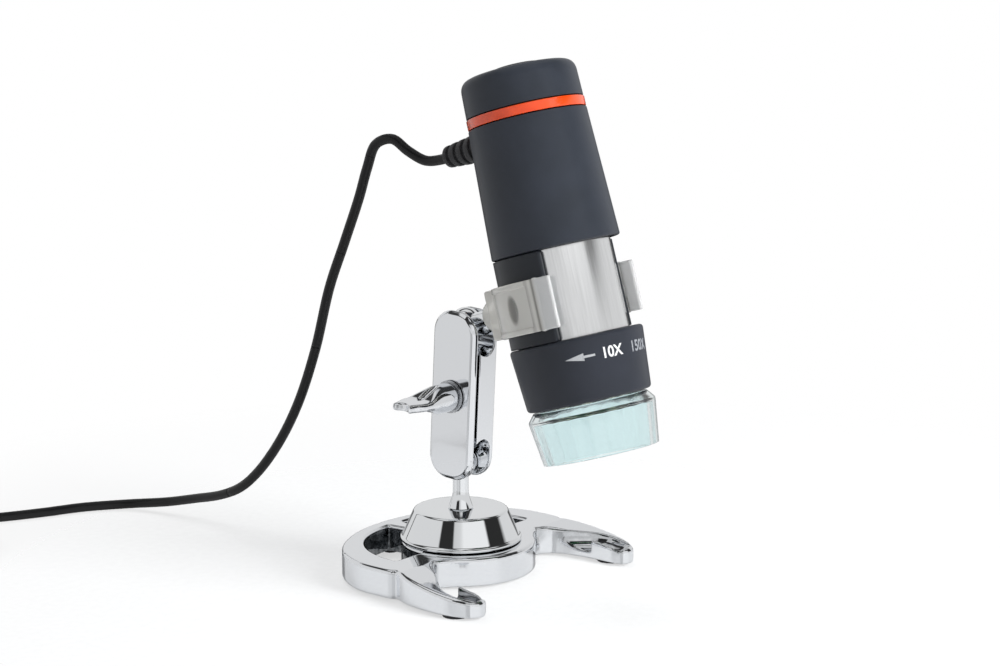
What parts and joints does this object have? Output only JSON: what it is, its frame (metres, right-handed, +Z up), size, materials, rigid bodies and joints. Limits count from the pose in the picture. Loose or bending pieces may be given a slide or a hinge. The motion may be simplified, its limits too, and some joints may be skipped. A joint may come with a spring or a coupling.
{
  "type": "digital microscope",
  "caption": "Hand-held USB digital microscope with focus wheel, snapshot button and clear nose, held in a snap clip on a chromed ball-jointed desk stand, with its cord and plug",
  "frame": {"origin": "on the bench under the middle of the outline of the stand and microscope, without the cord", "axes": "+Z up; the stand's open side and the microscope face -Y; the wing screw points to -X"},
  "size_m": [0.1944, 0.2278, 0.1509],
  "materials": {
    "chrome": "polished",
    "steel": "satin",
    "housing": "soft satin",
    "accent": "gloss",
    "wheel": "satin",
    "clear_nose": "clear gloss",
    "clip_plastic": "frosted",
    "rubber": "matt",
    "board": "solder mask",
    "chip": "moulded epoxy",
    "led": "clear epoxy",
    "lens": "polished",
    "tongue": "moulded"
  },
  "bodies": {
    "stand": {"base": "chrome", "front_pad_near": "rubber", "front_pad_far": "rubber", "rear_pad": "rubber", "cone_cap": "chrome"},
    "post": {"post": "chrome", "post_screw": "steel", "cord": "rubber", "cord_coil": "rubber", "cord_tie": "rubber", "usb_plug": "rubber", "plug_shell": "steel", "plug_tongue": "tongue"},
    "arm": {"far_jaw": "chrome", "clamp_nut": "steel", "jaw_spring": "steel"},
    "near_jaw": {"near_jaw": "chrome", "clamp_washer": "steel"},
    "wing": {"wing_screw": "chrome"},
    "stud": {"clip_stud": "chrome"},
    "clip": {"clip": "clip_plastic"},
    "microscope": {"top_cap": "housing", "accent_ring": "accent", "upper_shell": "housing", "neck_shell": "housing", "lower_cup": "housing", "nose_cap": "clear_nose", "led_board": "board", "led_1": "led", "led_2": "led", "led_3": "led", "led_4": "led", "led_5": "led", "led_6": "led", "led_7": "led", "led_8": "led", "sensor_board": "board", "image_sensor": "chip", "video_chip": "chip", "board_screw_1": "steel", "board_screw_2": "steel", "board_screw_3": "steel", "button_board": "board", "button_switch": "chip", "strain_relief": "rubber"},
    "focus": {"focus_wheel": "wheel"},
    "lens": {"lens_carrier": "chip", "objective_lens": "lens"},
    "button": {"snapshot_button": "housing"}
  },
  "joints": [
    {"name": "stand_swivel", "type": "hinge", "parent": "stand", "child": "post", "pos_m": [0, 0.01821, 0.032], "axis": [0, 0, 1], "continuous": true},
    {"name": "lower_tilt", "type": "hinge", "parent": "post", "child": "arm", "pos_m": [0, 0.01821, 0.032], "axis": [1, 0, 0], "range_deg": [-60, 25], "deforming": ["cord"]},
    {"name": "jaw_slide", "type": "slide", "parent": "arm", "child": "near_jaw", "axis": [-1, 0, 0], "range_m": [0, 0.00105], "deforming": ["jaw_spring"]},
    {"name": "wing_turn", "type": "hinge", "parent": "near_jaw", "child": "wing", "pos_m": [0, 0.01708, 0.05297], "axis": [-1, 0, 0], "range_deg": [0, 540]},
    {"name": "upper_tilt", "type": "hinge", "parent": "arm", "child": "stud", "pos_m": [0, 0.01594, 0.07394], "axis": [1, 0, 0], "range_deg": [-70, 20], "deforming": ["cord"]},
    {"name": "clip_roll", "type": "hinge", "parent": "stud", "child": "clip", "pos_m": [0, 0.01594, 0.07394], "axis": [0, -0.9593, 0.2823], "range_deg": [-90, 90], "deforming": ["cord"]},
    {"name": "scope_turn", "type": "hinge", "parent": "clip", "child": "microscope", "pos_m": [0, -0.02118, 0.08486], "axis": [0, 0.2823, 0.9593], "continuous": true, "deforming": ["cord"]},
    {"name": "focus_turn", "type": "hinge", "parent": "microscope", "child": "focus", "pos_m": [0, -0.02118, 0.08486], "axis": [0, 0.2823, 0.9593], "range_deg": [-150, 150]},
    {"name": "lens_slide", "type": "slide", "parent": "microscope", "child": "lens", "axis": [0, 0.2823, 0.9593], "range_m": [-0.009, 0.009]},
    {"name": "button_press", "type": "slide", "parent": "microscope", "child": "button", "axis": [0, -0.2823, -0.9593], "range_m": [0, 0.0008], "stiffness_N_per_m": 1500, "springref_m": -0.0003}
  ],
  "couplings": [
    {"joint": "wing_turn", "follows": "jaw_slide", "rad_per_m": 8975.1},
    {"joint": "focus_turn", "follows": "lens_slide", "rad_per_m": 290.86}
  ]
}
